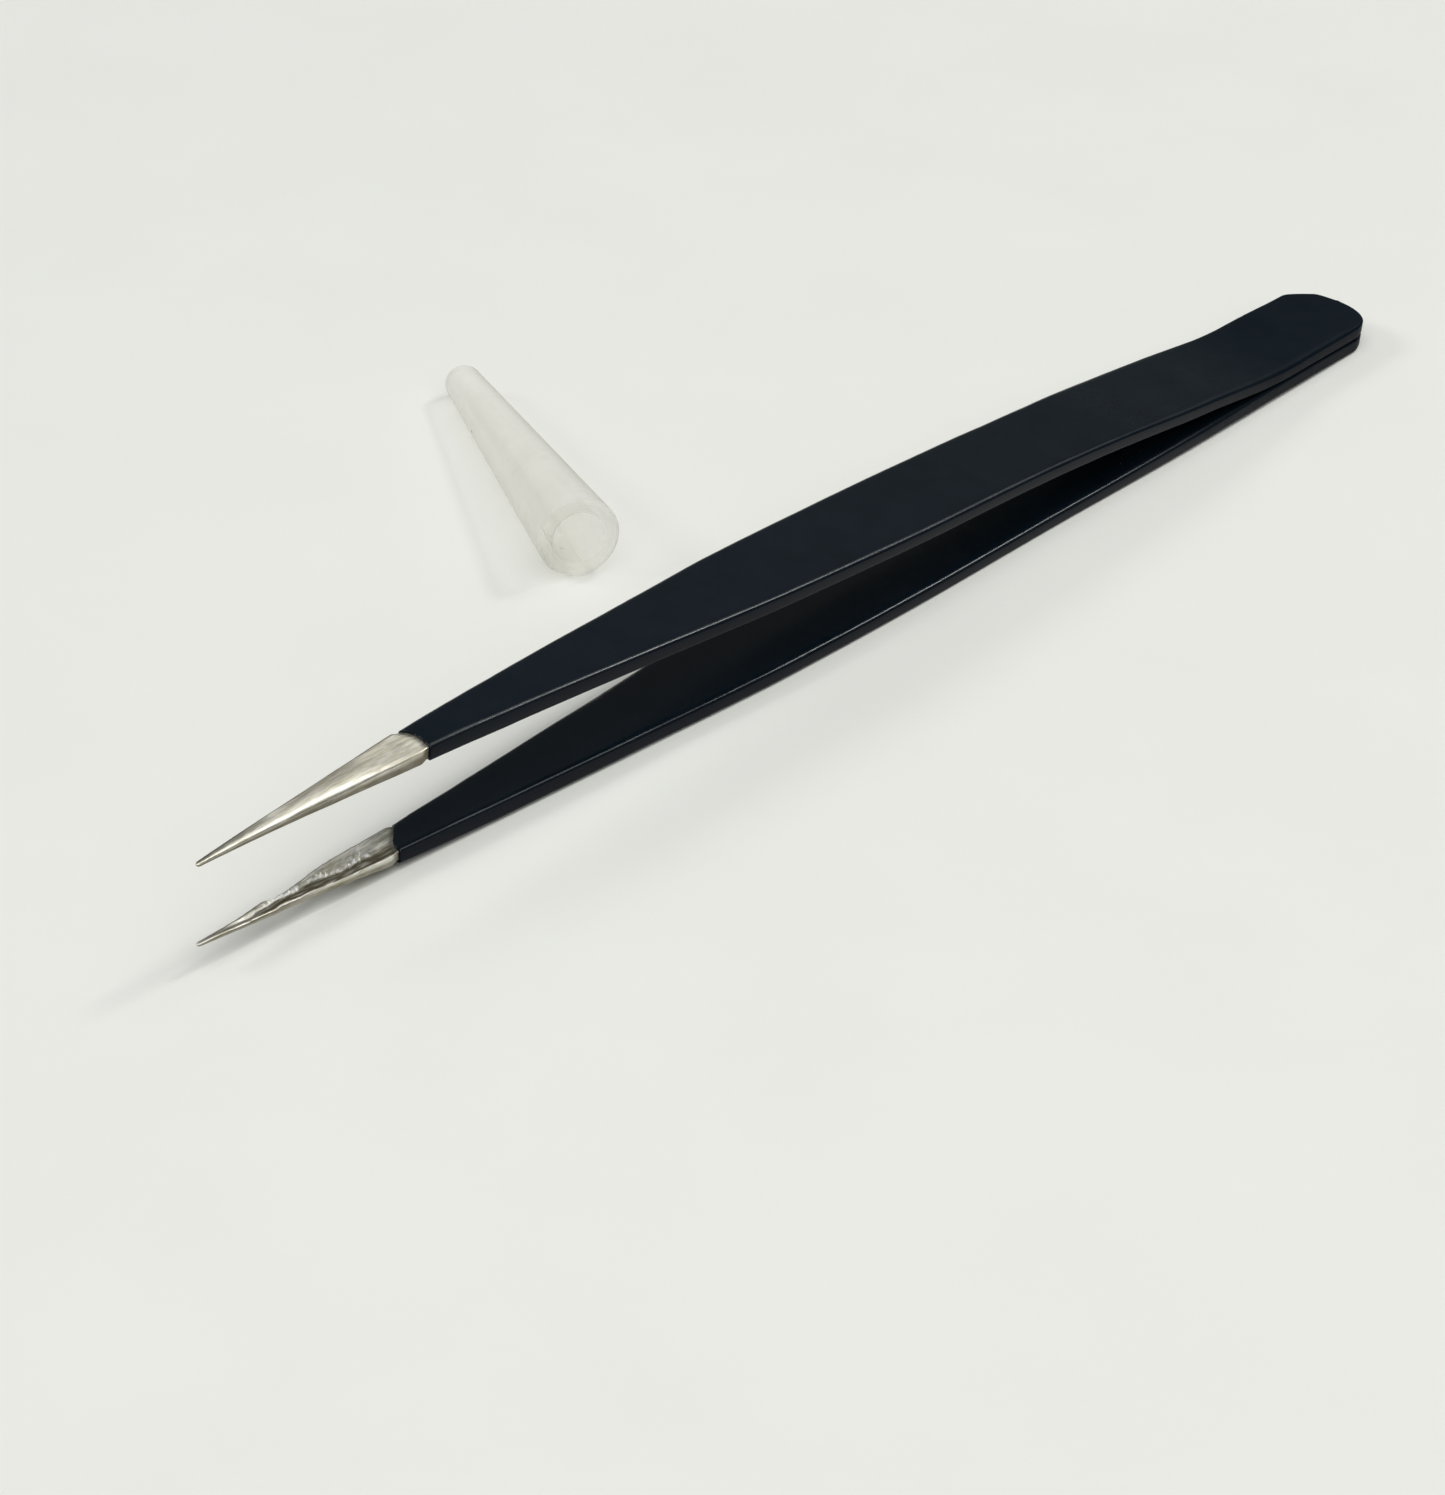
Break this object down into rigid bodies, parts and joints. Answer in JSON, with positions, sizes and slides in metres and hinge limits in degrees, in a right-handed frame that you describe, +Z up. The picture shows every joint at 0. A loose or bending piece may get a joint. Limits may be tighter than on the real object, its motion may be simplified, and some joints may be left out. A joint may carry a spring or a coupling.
{
  "type": "fine-point tweezers",
  "caption": "Straight spring tweezers with bare needle-fine points, a black coat over the leaf-shaped legs and a loose milky tip cap lying beside them.",
  "frame": {"origin": "middle of the small flat on the lower leg that touches the table", "axes": "+X along the tool from the points to the heel, +Y across the legs towards the cap, +Z up from the table"},
  "size_m": [0.1386, 0.0492, 0.0097],
  "materials": {
    "upper_heel": "bare sheet under the coat",
    "lower_heel": "bare sheet under the coat",
    "weld_nugget_rear": "fused",
    "weld_nugget_front": "fused",
    "heel_coating": "satin",
    "upper_leg": "ground point",
    "upper_leg_coating": "satin",
    "lower_leg": "ground point",
    "lower_leg_coating": "satin",
    "tip_cap": "milky translucent"
  },
  "bodies": {
    "heel": {"upper_heel": "upper_heel", "lower_heel": "lower_heel", "weld_nugget_rear": "weld_nugget_rear", "weld_nugget_front": "weld_nugget_front", "heel_coating": "heel_coating"},
    "upper_leg": {"upper_leg": "upper_leg", "upper_leg_coating": "upper_leg_coating"},
    "lower_leg": {"lower_leg": "lower_leg", "lower_leg_coating": "lower_leg_coating"},
    "tip_cap": {"tip_cap": "tip_cap"}
  },
  "joints": [
    {"name": "upper_leg_squeeze", "type": "hinge", "parent": "heel", "child": "upper_leg", "pos_m": [0.036, 0, 0.00226], "axis": [0, -1, 0], "range_deg": [0, 1.5], "stiffness_Nm_per_rad": 2.5},
    {"name": "lower_leg_squeeze", "type": "hinge", "parent": "heel", "child": "lower_leg", "pos_m": [0.036, 0, 0.00086], "axis": [0, 1, 0], "range_deg": [0, 1.5], "stiffness_Nm_per_rad": 2.5},
    {"name": "tip_cap_lift", "type": "slide", "parent": "heel", "child": "tip_cap", "axis": [0, 0, 1], "range_m": [0, 0.04]}
  ],
  "couplings": [
    {"joint": "lower_leg_squeeze", "follows": "upper_leg_squeeze", "ratio": 1}
  ]
}
